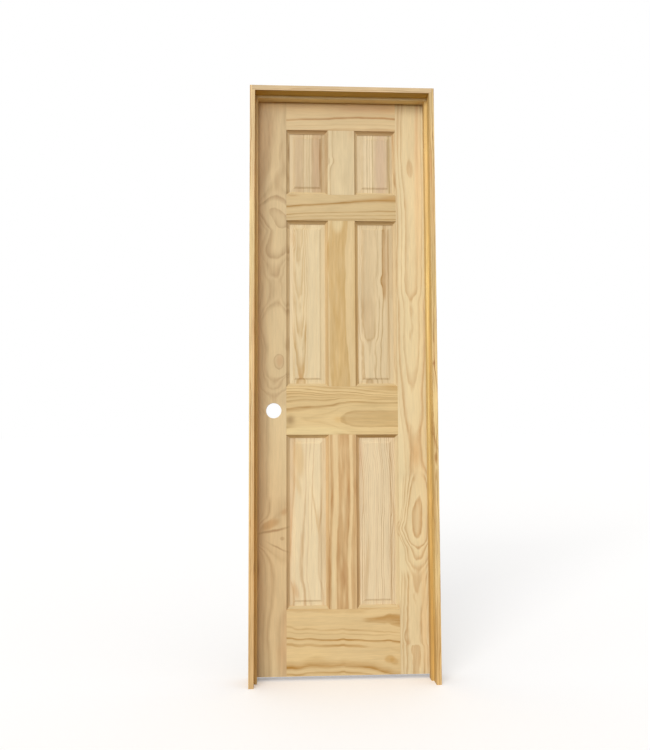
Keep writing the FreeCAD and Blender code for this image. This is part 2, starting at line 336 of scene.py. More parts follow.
def pineBoard(name, grain, seed):
    upright = grain["upright"]
    low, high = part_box(name)
    span = 1000 * (high.z - low.z if upright else high.x - low.x) + 20  # 10 mm over at each end
    aside = grain.get("flatMiddle", 0) / 1000  # where a moulding runs along one edge only
    middle = ((low.x + high.x) / 2 + (aside if upright else 0), low.y,
              (low.z + high.z) / 2 + (0 if upright else aside))
    material, tree = newMaterial("barePine_" + name)

    # millimetres from the middle of the board's near face: x across the door, y into it, z up
    coordinates = addNode(tree, "ShaderNodeTexCoord")
    place = addNode(tree, "ShaderNodeVectorMath", {"operation": "MULTIPLY_ADD", 1: (1000, 1000, 1000),
                    2: tuple(-1000 * c for c in middle)}, {0: coordinates.outputs["Object"]}).outputs[0]
    drift = noiseAlong(tree, place, pine["driftSize"], upright, seed, 3)
    moved = strayed(tree, place, drift, pine["drift"])
    tremble = noiseAlong(tree, place, pine["trembleSize"], upright, seed + 2, 1)
    moved = strayed(tree, moved, tremble, pine["tremble"])

    rings, along = heartDistance(tree, grain, moved, span)
    late = ringTones(tree, grain["rings"], rings, along)
    if "fine" in grain:
        late = fineLines(tree, grain, late, rings, moved, seed + 9)
    patches = noiseAlong(tree, moved, pine["patchSize"], upright, seed + 4, 2)
    late = addNode(tree, "ShaderNodeMath", {"operation": "MULTIPLY", "use_clamp": True},
                   {0: late, 1: aroundOne(tree, patches, pine["patchiness"])}).outputs[0]

    colour = addNode(tree, "ShaderNodeMix", {"data_type": "RGBA", 6: linearColour(grain["early"]),
                     7: linearColour(grain["late"])}, {0: late}).outputs[2]
    # stains of the wood, and the pale marks of painted light that some boards list
    for x, z, halfWidth, halfHeight, tilt, strength, tint, edge in grain.get("stainsAndPaintedLight", []):
        stainOrPaintedLight = fadeAround(tree, moved, x, z, halfWidth, halfHeight, tilt, edge)
        amount = addNode(tree, "ShaderNodeMath", {"operation": "MULTIPLY", 1: strength}, {0: stainOrPaintedLight})
        colour = addNode(tree, "ShaderNodeMix", {"data_type": "RGBA", 7: linearColour(tint)},
                         {0: amount.outputs[0], 6: colour}).outputs[2]
    colour = insideShadeTinted(tree, colour, place, 1000 * (high.y - low.y), grain.get("insideShade", pine["insideShade"]))

    fibre = noiseAlong(tree, moved, pine["fibreSize"], upright, seed + 3, 5)
    cloud = noiseAlong(tree, moved, pine["cloudSize"], upright, seed + 6, 3)
    tone = addNode(tree, "ShaderNodeMath", {"operation": "MULTIPLY"},
                   {0: aroundOne(tree, fibre, pine["fibreTone"]),
                    1: aroundOne(tree, cloud, grain.get("cloud", pine["cloud"]))})
    colour = addNode(tree, "ShaderNodeVectorMath", {"operation": "SCALE"},
                     {0: colour, "Scale": tone.outputs[0]})
    relief = addNode(tree, "ShaderNodeMath", {"operation": "MULTIPLY_ADD", 1: pine["latewoodRelief"]},
                     {0: late, 2: fibre.outputs[0]})
    bump = addNode(tree, "ShaderNodeBump", {"Strength": pine["reliefStrength"],
                   "Distance": pine["reliefDepth"] / 1000}, {"Height": relief.outputs[0]})
    surface = addNode(tree, "ShaderNodeBsdfPrincipled", {"Roughness": pine["roughness"], "IOR": pine["ior"],
                      "Specular IOR Level": pine["specular"]},
                      {"Base Color": colour.outputs[0], "Normal": bump.outputs[0]})
    addNode(tree, "ShaderNodeOutputMaterial", None, {"Surface": surface.outputs[0]})
    return material


def easeArrises(node):
    # as by a stroke of fine sandpaper
    weld = node.modifiers.new("joined", "WELD")
    weld.merge_threshold = pine["weldWithin"] / 1000
    ease = node.modifiers.new("easedArrises", "BEVEL")
    ease.width = pine["arris"] / 1000
    ease.segments = 2
    ease.limit_method = "ANGLE"
    ease.angle_limit = math.radians(pine["arrisAngle"])


dressed = []


def dressBoard(name, grain):
    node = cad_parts[name]
    node.data.materials.clear()
    node.data.materials.append(pineBoard(name, grain, len(dressed) * pine["boardSeed"]))
    if not name.endswith("_jamb"):  # the jambs stay crisp, so that their ends keep to the part's own box
        easeArrises(node)
    dressed.append(name)


# a board's figure, in millimetres from the middle of its face
# pith: where the heart runs, as points along the board, across it and behind its face
# start: ring distances are counted from here, for a heart that lies far off
# swells: x, z, half width, half height and rise of a bulge in the rings
# rings: the highest place along the board, then each ring's distance from the heart and share of latewood
# stainsAndPaintedLight: x, z, half width, half height, tilt in degrees, strength, colour and edge of each
# stain or mark of painted light
# fine: spacing and strength of narrow rings; insideShade: painted shade, a tint for what lies between the
# faces
# flatMiddle: how far aside the flat face has its middle; cloud: how far the tone varies along the board
hingeStile = {
    "upright": True,
    "flatMiddle": 5.5,
    "early": "#E4D1A4",
    "late": "#AD742E",
    "pith": [
        (1016, 0, 28), (850, -2, 25.5), (600, 5, 32.5), (430, 2, 33.5), (340, 1, 34.5), (300, 0, 39.6),
        (270, 0, 41.3), (180, 0, 41.6), (100, 0, 42.8), (20, 0, 47.4), (-20, 0, 50.3), (-40, 0, 51.2),
        (-100, 4, 52.2), (-230, 9, 59), (-300, 14, 57), (-340, 20, 53), (-420, 18, 45),
        (-480, 12, 42.4), (-543, 12, 45), (-583, 15, 57), (-623, 13, 62.4), (-680, 10, 73.2),
        (-700, 9, 73.9), (-735, 6, 74.7), (-775, 3, 75.6), (-850, -2, 76.6), (-905, 0, 76.8),
        (-917, 1, 75.4), (-926, 2, 74), (-1016, 2, 73.7),
    ],
    "swells": [
        (-45, -515, 18, 25, -8), (-48, -450, 18, 45, 6), (-38, -890, 12, 30, -4), (0, 770, 14, 32, -9),
    ],
    "rings": [
        (1100, [
            (18, 0.35), (23, 0.3), (25, 0.05), (33, 0.02), (36, 0.12), (40.3, 0.42), (41.6, 0), (46, 0),
            (50.3, 0.32), (51.6, 0), (57, 0.05), (62, 0.5), (64.5, 0.1), (68, 0.1), (71, 0.2), (73, 0),
        ]),
        (-330, [
            (38, 0.12), (42, 0.18), (45, 0.55), (46.5, 0), (54, 0.1), (57, 0.55), (58.4, 0),
            (60.5, 0.1), (62.6, 0.55), (64, 0), (68, 0.12), (71, 0.42), (72.7, 0), (76, 0.3), (77.7, 0),
        ]),
        (-670, [
            (70, 0.3), (75, 0.4), (75.7, 0.08), (78, 0.1), (80, 0.6), (81.6, 0.05), (86, 0.4),
            (87.5, 0.05), (92, 0.35), (93.5, 0),
        ]),
    ],
    "stainsAndPaintedLight": [
        (28, 700, 13, 330, 0, 0.75, "#E6CB9B", 2.5), (8, -262, 17, 55, 0, 0.4, "#D0A064", 1.2),
        (26, 900, 5, 200, 0, 0.35, "#D8AC7C", 1), (-42, 920, 7, 110, -2, 0.45, "#C8A070", 1),
        (33, -810, 10, 170, 0, 0.8, "#E3C897", 2.5),
    ],
}
dressBoard("hinge_stile", hingeStile)

latchStile = {
    "upright": True,
    "flatMiddle": -5.5,
    "early": "#DDC799",
    "late": "#84531E",
    "pith": [
        (1016, 60, 84), (900, 60, 83), (820, 60, 77.5), (765, 45, 82), (720, 22, 81.5), (680, 15, 75),
        (668, 15, 70), (640, 10, 53.6), (625, 9, 38), (610, 16, 31), (590, 30, 26), (570, 40, 30),
        (550, 44, 44), (530, 38, 57.4), (500, 28, 57.4), (470, 18, 60), (450, 12, 66.4), (440, 10, 70),
        (410, 9, 79), (380, 8, 81), (350, 12, 84.6), (320, 15, 84.6), (282, 15, 82), (264, 15, 77),
        (235, 15, 70), (190, 15, 62.6), (170, 15, 66.5), (140, 15, 71.6), (110, 15, 74), (60, 15, 73),
        (30, 15, 75), (8, 8, 82), (-15, 8, 84), (-56, 8, 97), (-130, 45, 100), (-440, 45, 102),
        (-465, 45, 98.9), (-487, 45, 84.6), (-522, 45, 56), (-548, 45, 48), (-570, 45, 64),
        (-582, 45, 83), (-595, 45, 92), (-620, 45, 101), (-650, 45, 105), (-690, 45, 106),
        (-740, 45, 105), (-790, 45, 103.5), (-830, 45, 100), (-900, 45, 99), (-950, 45, 101),
        (-1016, 45, 102),
    ],
    "swells": [
        (28, 72, 25, 34, -45), (45, -520, 45, 26, 13), (38, -545, 10, 9, -22), (30, 545, 26, 30, -10),
    ],
    "rings": [
        (1100, [
            (20, 0.08), (28, 0.2), (37, 0.38), (40, 0.12), (60, 0.12), (70, 0.5), (73, 0.18), (76, 0.2),
            (82, 0.34), (86, 0.16), (92, 0.2), (100, 0.34), (108, 0.38), (118, 0.26), (128, 0.18),
            (150, 0.16),
        ]),
        (425, [
            (30, 0.2), (42, 0.19), (50, 0.38), (52, 0.12), (72, 0.1), (77, 0.13), (82, 0.4), (84, 0.16),
            (87, 0.37), (89, 0.18), (93, 0.15), (97, 0.36), (99, 0.14), (104, 0.2), (106, 0.16),
            (112, 0.22), (114, 0.14), (125, 0.16),
        ]),
        (-85, [
            (100, 0.04), (112, 0.05), (119, 0.32), (121, 0.16), (127, 0.24), (129, 0.14), (140, 0.14),
        ]),
        (-410, [
            (30, 0.4), (38, 0.35), (44, 0.1), (76, 0.1), (88, 0.12), (97, 0.16), (101.4, 0.26),
            (105, 0.1), (109.5, 0.08), (113.5, 0.4), (117, 0.12), (119.5, 0.1), (123.4, 0.3),
            (127, 0.12), (132, 0.2), (145, 0.12),
        ]),
    ],
    "stainsAndPaintedLight": [
        # the first four marks are painted light: pale bands down the left edge, across the top and at the
        # top left corner lift the shade that the jamb, its stop and the head cast
        (-51, 0, 10, 1100, 0, 0.8, "#FBCC8E", 2), (0, 1016, 90, 34, 0, 0.6, "#FFE0A8", 1.5),
        (-42, 0, 22, 1100, 0, 0.24, "#F4D09E", 2), (-40, 900, 24, 200, 0, 0.35, "#EBC898", 1.5),
        (29, 74, 12, 20, 0, 0.4, "#C2966A", 2), (10, -640, 120, 420, 0, 0.2, "#D3A268", 1.5),
        (-15, 860, 16, 120, -8, 0.25, "#C19A6C", 1), (47, -860, 13, 95, -3, 0.3, "#C99A68", 2),
        (40, -960, 24, 60, 6, 0.28, "#C99A68", 2), (-4, -498, 34, 14, 27, 0.6, "#B98A50", 2.5),
        (43, -455, 13, 9, 50, 0.45, "#B98A55", 1.5), (8, -519, 50, 4.5, 11, 0.6, "#94622C", 1.5),
        (24, -577, 36, 3, -26, 0.5, "#94663A", 1.3), (-46, -650, 5, 40, 0, 0.5, "#A86C34", 1),
    ],
}
dressBoard("latch_stile", latchStile)

topRail = {
    "upright": False,
    "flatMiddle": 5.5,
    "early": "#E0C99A",
    "late": "#A56A1D",
    "start": 400,
    "pith": [
        (-197, -409, 30), (-50, -402, 30), (0, -398, 30), (100, -396, 30), (150, -396, 30),
        (197, -398, 30),
    ],
    "swells": [
        (-197, -40, 150, 20, -3),
    ],
    "rings": [
        (500, [
            (-60, 0.2), (-52, 0.3), (-46, 0.3), (-44, 0.08), (-33, 0.08), (-30.5, 0.22), (-29, 0.08),
            (-12, 0.05), (-7.5, 0.62), (-4.5, 0.55), (-1, 0.1), (10, 0.1), (60, 0.2),
        ]),
    ],
    "stainsAndPaintedLight": [
        # the first mark is painted light: a pale band along the top edge lifts the shade that the head casts
        (0, 52, 400, 36, 0, 0.8, "#FFE2AC", 2), (80, 30, 110, 17, 0, 0.4, "#CDA078", 1.3),
        (170, 28, 45, 15, 0, 0.25, "#C08E50", 1.2), (-150, 40, 60, 12, 0, 0.2, "#C99B76", 1),
    ],
}
dressBoard("top_rail", topRail)

friezeRail = {
    "upright": False,
    "early": "#D5BD8D",
    "late": "#9D701C",
    "start": 400,
    "pith": [
        (-195, -405, 30), (-100, -400, 30), (0, -398, 30), (100, -397, 30), (195, -398, 30),
    ],
    "swells": [
        (200, 40, 220, 50, -20),
    ],
    "rings": [
        (500, [
            (-52, 0.1), (-46, 0.25), (-42, 0.55), (-40, 0.1), (-33, 0.12), (-30.5, 0.42), (-28, 0.08),
            (-22, 0.1), (-19.5, 0.6), (-16.5, 0.1), (2, 0.1), (6, 0.35), (8, 0.72), (10.5, 0.68),
            (14, 0.2), (17, 0.1), (30, 0.1),
        ]),
    ],
    "stainsAndPaintedLight": [
        (195, 38, 60, 12, 0, 0.6, "#B98D4C", 1), (110, 30, 80, 6, 3, 0.5, "#B98D4C", 1),
        # the band at z 54 is painted light: an even, paler tone on the upward-facing moulding, which the
        # lamp lights
        (-175, 44, 20, 4, 0, 0.6, "#B08A54", 1), (0, 54, 400, 6, 0, 0.9, "#D6C295", 3),
    ],
}
dressBoard("frieze_rail", friezeRail)

lockRail = {
    "upright": False,
    "early": "#E1C791",
    "late": "#9A6A19",
    "pith": [
        (-197, -28, 60), (-150, -28, 57), (-125, -28, 56), (-75, -28, 53.7), (-40, -28, 50),
        (-5, -28, 40), (5, -28, 38), (20, -28, 33.4), (60, -28, 27.8), (100, -28, 27.5), (197, -28, 27),
    ],
    "swells": [
        (-195, 75, 150, 30, -16), (190, 70, 160, 40, 24),
    ],
    "rings": [
        (500, [
            (25, 0.3), (35, 0.3), (38.5, 0.45), (40, 0.42), (41.3, 0.1), (52, 0.08), (56, 0.22),
            (57, 0.08), (63, 0.12), (67, 0.5), (69.5, 0.66), (72, 0.15), (80, 0.12), (84, 0.5),
            (86, 0.1), (88, 0.25), (89.5, 0.5), (90.5, 0.1), (92, 0.25), (93.8, 0.55), (95, 0.1),
            (96, 0.25), (97.6, 0.6), (99, 0.1), (103, 0.12), (105.5, 0.65), (107, 0.1), (112, 0.1),
            (118, 0.5), (120, 0.1), (125, 0.3),
        ]),
    ],
    "stainsAndPaintedLight": [
        (-16, -31, 13, 9, 0, 0.4, "#D4AA62", 1), (-184, -33, 16, 17, 0, 0.75, "#9C7E50", 1.2),
        # the band at z 91.5 is painted light: an even, paler tone on the upward-facing moulding, which the
        # lamp lights
        (0, 91.5, 400, 6, 0, 0.9, "#D6C295", 3), (110, 22, 90, 8, 0, 0.3, "#B79A62", 1),
        (185, 80, 30, 11, -8, 0.4, "#C09A58", 1.2), (130, -30, 90, 24, 0, 0.25, "#BFA067", 2),
        (-118, -73, 130, 18, 0, 0.95, "#E4CD97", 3),
    ],
}
dressBoard("lock_rail", lockRail)

bottomRail = {
    "upright": False,
    "flatMiddle": -5.5,
    "early": "#E0C591",
    "late": "#A57321",
    "start": 400,
    "pith": [
        (-197, -393, 30), (-180, -394, 30), (-170, -397, 30), (-150, -399, 30), (-125, -397, 30),
        (-100, -399, 30), (-50, -402, 30), (-20, -402, 30), (0, -400, 30), (8, -402, 30),
        (50, -404, 30), (100, -406, 30), (140, -406, 30), (156, -404, 30), (170, -406, 30),
        (197, -409, 30),
    ],
    "swells": [
        (190, -95, 70, 60, 35), (-200, -90, 70, 50, 13), (-200, 60, 30, 20, -6),
        (210, 112, 90, 30, -22), (210, 48, 90, 22, 17), (-90, -45, 30, 16, -14),
    ],
    "rings": [
        (500, [
            (-125, 0.1), (-105, 0.1), (-98, 0.6), (-94, 0.15), (-86, 0.12), (-80, 0.3), (-76, 0.75),
            (-66, 0.45), (-50, 0.12), (-15, 0.12), (-11, 0.25), (-3, 0.1), (5, 0.1), (9, 0.4),
            (11, 0.85), (13.5, 0.7), (15, 0.12), (28, 0.1), (32, 0.3), (34, 0.1), (40, 0.1), (45, 0.4),
            (50, 0.15), (72, 0.1), (75, 0.5), (79, 0.5), (84, 0.62), (87, 0.5), (89, 0.1), (108, 0.1),
            (116, 0.3),
        ]),
        (75, [
            (-125, 0.1), (-105, 0.1), (-98, 0.6), (-94, 0.12), (-86, 0.1), (-80, 0.4), (-76, 0.75),
            (-66, 0.4), (-50, 0.08), (-15, 0.1), (-11, 0.6), (-6, 0.5), (-3, 0.1), (5, 0.08), (9, 0.4),
            (11, 0.85), (13.5, 0.7), (15, 0.12), (28, 0.1), (32, 0.35), (34, 0.1), (40, 0.1),
            (45, 0.45), (50, 0.12), (98, 0.08), (106, 0.3), (116, 0.3),
        ]),
    ],
    "stainsAndPaintedLight": [
        (160, -60, 17, 13, 0, 0.55, "#C2954E", 3), (176, -67, 16, 12, -35, 0.5, "#C2954E", 2.5),
        # the band at z 119 is painted light: an even, paler tone on the upward-facing moulding, which the
        # lamp lights
        (145, 82, 60, 9, 4, 0.25, "#BC8A3C", 1.5), (0, 119, 400, 6, 0, 0.9, "#D6C295", 3),
        (-120, -45, 80, 30, 0, 0.25, "#E8C98A", 1),
    ],
}
dressBoard("bottom_rail", bottomRail)

topMullion = {
    "upright": True,
    "early": "#E0CDA2",
    "late": "#9D6C31",
    "start": 400,
    "pith": [
        (118, -399, 30), (75, -400, 30), (25, -399, 30), (5, -395, 30), (-5, -397, 30), (-15, -403, 30),
        (-40, -406, 30), (-118, -407, 30),
    ],
    "rings": [
        (500, [
            (-50, 0.3), (-45, 0.25), (-42, 0.0), (-35, 0.0), (-31, 0.42), (-27, 0.15), (-20, 0.1),
            (0, 0.06), (50, 0.1),
        ]),
    ],
    "stainsAndPaintedLight": [
        (12, -60, 13, 26, 0, 0.25, "#C4AE84", 1), (35, 108, 10, 16, 0, 0.3, "#CDA878", 1),
        (-10, 90, 12, 30, 0, 0.15, "#C4AE84", 1),
    ],
}
dressBoard("top_mullion", topMullion)

middleMullion = {
    "upright": True,
    "early": "#DDC493",
    "late": "#BC9348",
    "start": 400,
    "pith": [
        (298, -391, 30), (240, -395, 30), (150, -402, 30), (100, -400, 30), (50, -403, 30),
        (0, -401, 30), (-100, -400, 30), (-140, -397, 30), (-175, -393, 30), (-225, -390, 30),
        (-298, -387, 30),
    ],
    "swells": [
        (-45, 220, 20, 150, 9), (-45, -250, 30, 110, 12),
    ],
    "rings": [
        (500, [
            (-52, 0.1), (-42, 0.08), (-38, 0.48), (-10, 0.5), (10, 0.52), (14, 0.6), (17, 0.12),
            (30, 0.06), (42, 0.2), (48, 0.3),
        ]),
    ],
    "stainsAndPaintedLight": [
        (-14, 294, 20, 40, 0, 0.75, "#E2CE9E", 2.5), (-8, -205, 4, 30, 0, 0.35, "#E0C488", 1),
        (30, 150, 12, 120, 0, 0.2, "#DCC79E", 1),
    ],
}
dressBoard("middle_mullion", middleMullion)

bottomMullion = {
    "upright": True,
    "early": "#E5CA98",
    "late": "#A56D28",
    "start": 400,
    "pith": [
        (302, -400, 30), (200, -397, 30), (100, -396, 30), (0, -400, 30), (-150, -405, 30),
        (-302, -404, 30),
    ],
    "rings": [
        (500, [
            (-52, 0.15), (-46, 0.2), (-42, 0.6), (-37, 0.5), (-33, 0.1), (-22, 0.04), (-18, 0.1),
            (-15, 0.5), (5, 0.46), (14, 0.52), (22, 0.56), (25, 0.08), (32, 0.04), (36, 0.42),
            (45, 0.52), (50, 0.3), (56, 0.28),
        ]),
    ],
    "stainsAndPaintedLight": [
        (9, 140, 5, 60, -3, 0.6, "#E0C492", 1), (-6, 205, 3, 35, 4, 0.5, "#E0C492", 1),
        (1, 30, 5, 45, 3, 0.7, "#E4CA9A", 1), (3, -262, 6, 34, 0, 0.65, "#E0C492", 1),
        (-5, -148, 4, 30, 0, 0.5, "#E0C492", 1), (8, -95, 3, 30, 0, 0.4, "#E0C492", 1),
        (2, -190, 12, 50, 0, 0.35, "#A06C34", 1.5), (-34, -200, 5, 120, 0, 0.6, "#E4CFA0", 1),
    ],
}
dressBoard("bottom_mullion", bottomMullion)

topLeftPanel = {
    "upright": True,
    "early": "#DCC89F",
    "late": "#9F7539",
    "insideShade": "#FFFFFF",
    "start": 400,
    "pith": [
        (118, -370, 147), (-118, -371, 147),
    ],
    "rings": [
        (500, [
            (-64, 0.1), (-50, 0.15), (-30, 0.25), (-16, 0.2), (-13, 0.45), (-11, 0.08), (-4, 0.12),
            (-1.5, 0.4), (0, 0.08), (4, 0.12), (6, 0.42), (8, 0.06), (12, 0.1), (17, 0.42), (30, 0.38),
            (42, 0.42), (47, 0.7), (50, 0.35), (64, 0.35),
        ]),
    ],
    "stainsAndPaintedLight": [
        (34, 0, 17, 170, 0, 0.35, "#C9A484", 1.5), (47, 5, 4, 45, 0, 0.5, "#A9783F", 1),
        (-30, 0, 18, 200, 0, 0.25, "#C9A884", 2),
    ],
}
dressBoard("top_left_panel", topLeftPanel)

topRightPanel = {
    "upright": True,
    "early": "#E2CEA7",
    "late": "#9D7C3A",
    "insideShade": "#FFFFFF",
    "start": 400,
    "pith": [
        (118, -371, 147), (-118, -370, 147),
    ],
    "rings": [
        (500, [
            (-64, 0.2), (-40, 0.22), (-36, 0), (-30, 0), (-27, 0.4), (-25.5, 0.04), (-21, 0),
            (-18.5, 0.35), (-17, 0), (-12, 0), (-9, 0.55), (-6.5, 0.2), (10, 0.25), (40, 0.25),
            (43, 0.35), (48, 0.6), (51, 0.25), (64, 0.3),
        ]),
    ],
    "stainsAndPaintedLight": [
        (22, 0, 22, 170, 0, 0.5, "#CFB096", 2), (-42, 20, 9, 12, 0, 0.2, "#C9AE7E", 1),
        (-42, -35, 9, 12, 0, 0.2, "#C9AE7E", 1),
    ],
}
dressBoard("top_right_panel", topRightPanel)

middleLeftPanel = {
    "upright": True,
    "early": "#E3D0A6",
    "late": "#B8904F",
    "insideShade": "#FFFFFF",
    "pith": [
        (287, -30, 28), (150, -31, 32.4), (15, -28, 35.7), (-115, -26, 40.2), (-270, -24, 45),
        (-290, -25, 46),
    ],
    "swells": [
        (-52, 235, 14, 40, 8),
    ],
    "rings": [
        (500, [
            (26, 0.1), (31, 0.3), (32, 0.5), (33.3, 0.05), (35, 0.3), (36.3, 0.5), (37.6, 0.05),
            (38.6, 0.25), (40, 0.5), (41.3, 0.05), (43.3, 0.2), (45, 0.32), (46.3, 0.06), (49, 0.2),
            (50.5, 0.05), (60, 0.05), (72, 0.12), (75, 0.05), (90, 0.08),
        ]),
        (-70, [
            (26, 0.1), (31, 0.3), (32, 0.5), (33.3, 0.05), (35, 0.3), (36.3, 0.55), (37.6, 0.05),
            (38.4, 0.3), (40, 0.58), (41.3, 0.05), (43, 0.35), (45, 0.75), (46.3, 0.06), (49, 0.25),
            (50.5, 0.05), (60, 0.05), (72, 0.12), (75, 0.05), (90, 0.08),
        ]),
    ],
    "stainsAndPaintedLight": [
        (-54, 60, 11, 260, 0, 0.55, "#E4D0A8", 2), (-26, -262, 8, 22, 0, 0.5, "#C49558", 1),
        (-52, 235, 10, 30, 8, 0.4, "#C9A878", 1), (30, 235, 8, 25, 0, 0.25, "#CDB788", 1),
    ],
}
dressBoard("middle_left_panel", middleLeftPanel)

middleRightPanel = {
    "upright": True,
    "early": "#DFCBA2",
    "late": "#A37939",
    "insideShade": "#FFFFFF",
    "pith": [
        (287, -22, 55.5), (50, -22, 55.5), (-50, -22, 55.8), (-118, -22, 57.6), (-150, -22, 61),
        (-200, -22, 61.4), (-290, -22, 61.8),
    ],
    "swells": [
        (22, 82, 14, 16, 5), (27, 20, 12, 30, -2), (4, 160, 10, 60, -5),
    ],
    "rings": [
        (500, [
            (54, 0.16), (57, 0.16), (59.5, 0.36), (61, 0.08), (62.5, 0.3), (63.7, 0.05), (68, 0.06),
            (71.3, 0.15), (72.6, 0.8), (74.5, 0.65), (79, 0.5), (81.5, 0.16), (85, 0.12), (87, 0.4),
            (88.5, 0.15), (95, 0.25),
        ]),
        (20, [
            (54, 0.26), (58, 0.26), (59.6, 0.46), (61.2, 0.08), (63.6, 0.06), (65, 0.5), (66.3, 0.05),
            (68, 0.06), (71.3, 0.15), (72.8, 0.75), (74, 0.12), (80, 0.08), (86, 0.15), (87, 0.4),
            (88.5, 0.1), (95, 0.1),
        ]),
    ],
    "stainsAndPaintedLight": [
        (32, 65, 7, 50, 0, 0.5, "#B58C54", 1.5), (40, 160, 12, 130, 0, 0.5, "#C6A476", 1.5),
        (0, -20, 3, 260, 0, 0.4, "#E6D2A6", 1), (-28, -20, 18, 90, 0, 0.25, "#CBAF86", 1),
        (46, -110, 8, 150, 0, 0.35, "#CDAF7E", 1.5),
    ],
}
dressBoard("middle_right_panel", middleRightPanel)

bottomLeftPanel = {
    "upright": True,
    "early": "#E8D5AC",
    "late": "#B07B3C",
    "insideShade": "#FFFFFF",
    "start": 400,
    "pith": [
        (291, -389, 30), (155, -389, 30), (100, -392, 30), (30, -397, 30), (-50, -402, 30),
        (-100, -404, 30), (-170, -407, 30), (-220, -397, 30), (-270, -392, 30), (-290, -392, 30),
    ],
    "swells": [
        (5, -240, 12, 60, 9), (5, 150, 10, 150, 9), (25, 120, 14, 160, 10), (50, 0, 12, 300, 4),
    ],
    "rings": [
        (500, [
            (-64, 0.3), (-56, 0.45), (-52, 0.1), (-45, 0.04), (-18, 0.04), (-14, 0.3), (-11.5, 0.34),
            (-8.5, 0.04), (2.5, 0.04), (5, 0.35), (6.3, 0.03), (15, 0.03), (17.5, 0.45), (19.5, 0.04),
            (40, 0.04), (48, 0.35), (52, 0.12), (64, 0.2),
        ]),
        (-40, [
            (-64, 0.3), (-56, 0.45), (-52, 0.1), (-45, 0.04), (-25, 0.04), (-18, 0.36), (-13, 0.44),
            (-7, 0.04), (2.5, 0.04), (5, 0.35), (6.3, 0.03), (8, 0.3), (9.5, 0.03), (40, 0.04),
            (48, 0.35), (52, 0.12), (64, 0.2),
        ]),
    ],
    "stainsAndPaintedLight": [
        (-30, 220, 19, 70, 4, 0.6, "#D6B47C", 2.5), (-34, 128, 9, 40, 12, 0.5, "#D6B47C", 1.5),
        (25, 40, 3, 80, 9, 0.45, "#C39A60", 1.2), (43, 0, 3, 40, -7, 0.4, "#C39A60", 1.2),
        (35, 0, 6, 36, 0, 0.45, "#CFAC78", 1.2), (-42, -240, 10, 32, 15, 0.5, "#CDA06C", 1.5),
        (-60, -30, 6, 150, 0, 0.4, "#CFA070", 1),
    ],
}
dressBoard("bottom_left_panel", bottomLeftPanel)

bottomRightPanel = {
    "upright": True,
    "early": "#E7D4AD",
    "late": "#A77437",
    "insideShade": "#FFFFFF",
    "fine": (6.9, 0.5),
    "start": 400,
    "pith": [
        (291, -406, 30), (280, -406, 30), (200, -399, 30), (100, -395, 30), (40, -395, 30),
        (0, -398, 30), (-291, -399, 30),
    ],
    "swells": [
        (55, 120, 14, 90, -4), (-34, -200, 10, 180, -3), (58, 10, 14, 60, -6),
    ],
    "rings": [
        (500, [
            (-64, 0.15), (-55, 0.12), (-52, 0.15), (-50, 0.05), (-36, 0.04), (-5.5, 0.08), (-4.5, 0.4),
            (-3.5, 0.05), (40, 0.08), (46, 0.1), (49.5, 0.3), (53, 0.08), (64, 0.15),
        ]),
    ],
    "stainsAndPaintedLight": [
        (-38, -170, 8, 120, -3, 0.6, "#C8AA7E", 2), (58, 30, 3, 60, 5, 0.5, "#C39660", 1),
        (-58, 220, 6, 50, 0, 0.5, "#C9A27A", 1),
    ],
}
dressBoard("bottom_right_panel", bottomRightPanel)

# the rings of jambs and stops are all fine ones, drawn over one even tone
plainRings = [(1100, [(-10, 0.1), (10, 0.1)])]

# each jamb's tint for what lies between its faces is painted shade: its broad sides, the reveals, come out
# warmer and darker
hingeJamb = {
    "upright": True,
    "early": "#E6CA90",
    "late": "#9A6226",
    "insideShade": "#FFFFEA",
    "fine": (5.2, 1.05),
    "cloud": 0.17,
    "start": 600,
    "pith": [
        (1033, -400, 460), (500, -397, 460), (100, -402, 460), (-80, -394, 460), (-250, -400, 460),
        (-600, -396, 460), (-1033, -401, 460),
    ],
    "rings": plainRings,
    "stainsAndPaintedLight": [
        (0, -980, 30, 220, 0, 0.5, "#C89A58", 2), (6.5, 0, 2.2, 1000, 0, 0.5, "#EBD298", 2),
        (0, 950, 9, 90, 0, 0.4, "#E2C88E", 2), (-5, 840, 2.5, 130, 1, 0.6, "#A97A38", 1.5),
        (-5, 740, 4, 60, 0, 0.5, "#C88E56", 1.5), (0, 600, 6, 110, 0, 0.4, "#D3A468", 1.5),
        (0, 330, 7, 180, 0, 0.4, "#CDB272", 2), (-2, 330, 1.5, 60, 0, 0.5, "#9E7434", 1.5),
        (-3, 54, 3.5, 9, 0, 0.7, "#96622C", 1.5), (-2, 135, 2.5, 14, 0, 0.5, "#A87A40", 1.5),
        (-1, -110, 4, 120, 0, 0.6, "#EBD090", 2), (-6, -190, 3, 55, 3, 0.6, "#A87230", 1.5),
        (0, -222, 2.4, 36, 14, 0.6, "#A87234", 1.5), (-2, -271, 5, 17, 0, 0.7, "#A06A2C", 1.5),
        (2, -304, 5, 9, 0, 0.6, "#EBD094", 1.5), (-1, -335, 4, 14, 0, 0.5, "#B98A48", 1.5),
        (-6, -450, 2.2, 170, 0, 0.5, "#A87834", 2), (-6, -860, 2.4, 90, 0, 0.5, "#9C6C28", 2),
    ],
}
dressBoard("hinge_jamb", hingeJamb)

